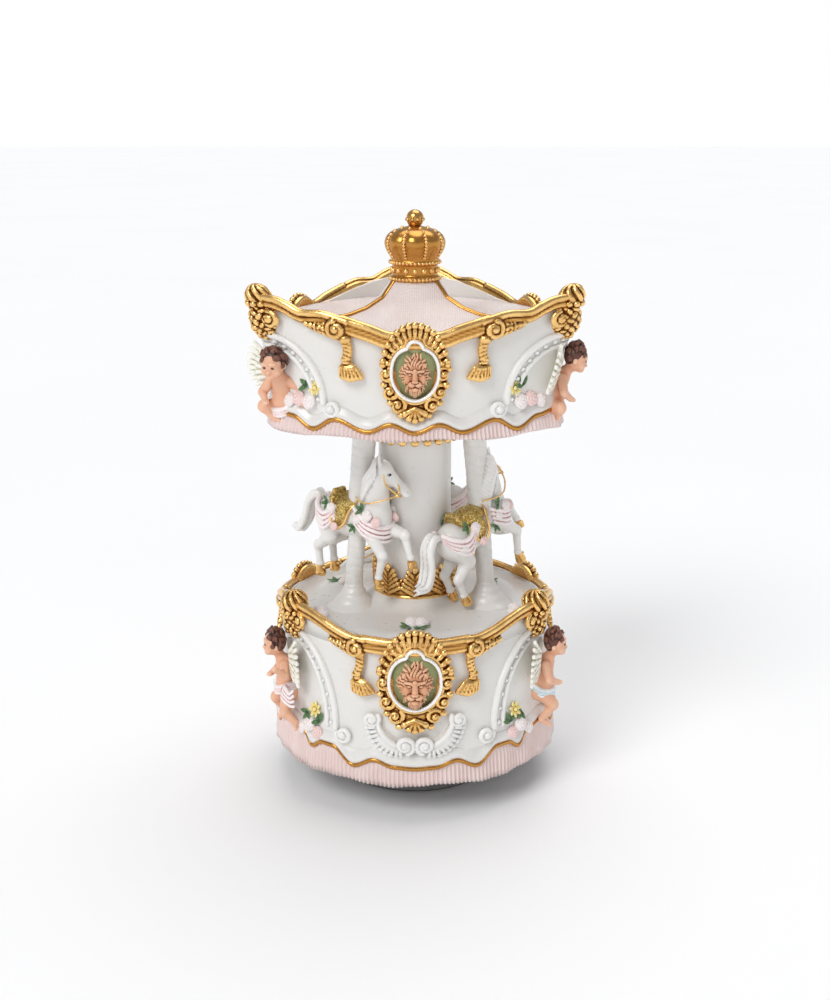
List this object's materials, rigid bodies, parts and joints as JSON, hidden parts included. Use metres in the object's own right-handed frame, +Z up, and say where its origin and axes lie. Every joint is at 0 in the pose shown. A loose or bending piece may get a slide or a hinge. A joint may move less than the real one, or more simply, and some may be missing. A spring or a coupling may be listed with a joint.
{
  "type": "carousel music box",
  "caption": "Cast-resin carousel music box with prancing horses on poles, a canopy with gilt trim and a crown, turning on a round steel winding foot",
  "frame": {"origin": "centre of the foot's underside, on the turning axis", "axes": "+Z up along the turning axis, front with a lion medallion along -Y, +X to the viewer's right"},
  "size_m": [0.1106, 0.117, 0.2],
  "materials": {
    "pearl_white": "pearl lacquer over cast resin",
    "antique_gold": "antique gold paint over cast resin",
    "pearl_pink": "pale pink pearl lacquer over cast resin",
    "skin": "matte paint over cast resin",
    "terracotta": "terracotta paint with dark lines over cast resin",
    "rose_petal": "soft white and pink paint over cast resin",
    "foot_steel": "spun and brushed",
    "felt": "dark felt",
    "movement_steel": "bright, machined",
    "movement_brass": "bright, machined",
    "movement_zinc": "die-cast, dull",
    "spring_steel": "blued spring steel",
    "cover_board": "dark fibre board",
    "nylon": "moulded nylon"
  },
  "bodies": {
    "foot": {"foot_can": "foot_steel", "foot_pad": "felt", "winding_arbor": "movement_steel", "lock_nut": "movement_steel", "thrust_washer": "nylon", "drive_wheel": "movement_brass"},
    "carousel": {"arbor_brackets": "movement_zinc", "arbor_bush": "movement_brass", "base_cartouches": "antique_gold", "base_cherubs": "skin", "base_corner_shells": "antique_gold", "base_cover": "cover_board", "base_fringe": "pearl_pink", "base_lions": "terracotta", "base_rim": "antique_gold", "base_shell": "pearl_white", "base_tassels": "antique_gold", "canopy_cartouches": "antique_gold", "canopy_ceiling": "pearl_white", "canopy_cherubs": "skin", "canopy_fringe": "pearl_pink", "canopy_lions": "terracotta", "canopy_rim": "antique_gold", "canopy_roof": "pearl_pink", "canopy_tassels": "antique_gold", "canopy_wall": "pearl_white", "column": "pearl_white", "column_bead_collar": "antique_gold", "column_leaf_collar": "antique_gold", "comb": "movement_steel", "comb_screws": "movement_steel", "comb_support": "movement_zinc", "corner_finials": "antique_gold", "cover_screws": "movement_steel", "crown": "antique_gold", "crown_ball": "antique_gold", "deck_roses": "rose_petal", "governor_frame": "movement_zinc", "horse_1": "pearl_white", "horse_2": "pearl_white", "horse_3": "pearl_white", "mainspring": "spring_steel", "movement_plate": "movement_zinc", "plate_screws": "movement_steel", "pole_1": "pearl_white", "pole_2": "pearl_white", "pole_3": "pearl_white", "spring_barrel": "movement_brass"},
    "cylinder": {"music_cylinder": "movement_brass", "cylinder_arbor": "movement_steel", "cylinder_pinion": "nylon", "cylinder_wheel": "nylon"},
    "governor": {"governor_pinion": "nylon", "worm_wheel": "nylon", "governor_arbor": "movement_steel"},
    "brake": {"governor_worm": "movement_steel", "air_brake": "nylon"}
  },
  "joints": [
    {"name": "carousel_turn", "type": "hinge", "parent": "foot", "child": "carousel", "pos_m": [0, 0, 0.0132], "axis": [0, 0, 1], "continuous": true},
    {"name": "cylinder_spin", "type": "hinge", "parent": "carousel", "child": "cylinder", "pos_m": [0.022, 0, 0.0364], "axis": [1, 0, 0], "continuous": true},
    {"name": "governor_spin", "type": "hinge", "parent": "carousel", "child": "governor", "pos_m": [0.032, 0.01005, 0.0364], "axis": [1, 0, 0], "continuous": true},
    {"name": "brake_spin", "type": "hinge", "parent": "carousel", "child": "brake", "pos_m": [0.0347, 0.01675, 0.0364], "axis": [0, 0, 1], "continuous": true}
  ],
  "couplings": [
    {"joint": "cylinder_spin", "follows": "carousel_turn", "ratio": -2},
    {"joint": "governor_spin", "follows": "carousel_turn", "ratio": 6},
    {"joint": "brake_spin", "follows": "carousel_turn", "ratio": -120}
  ]
}
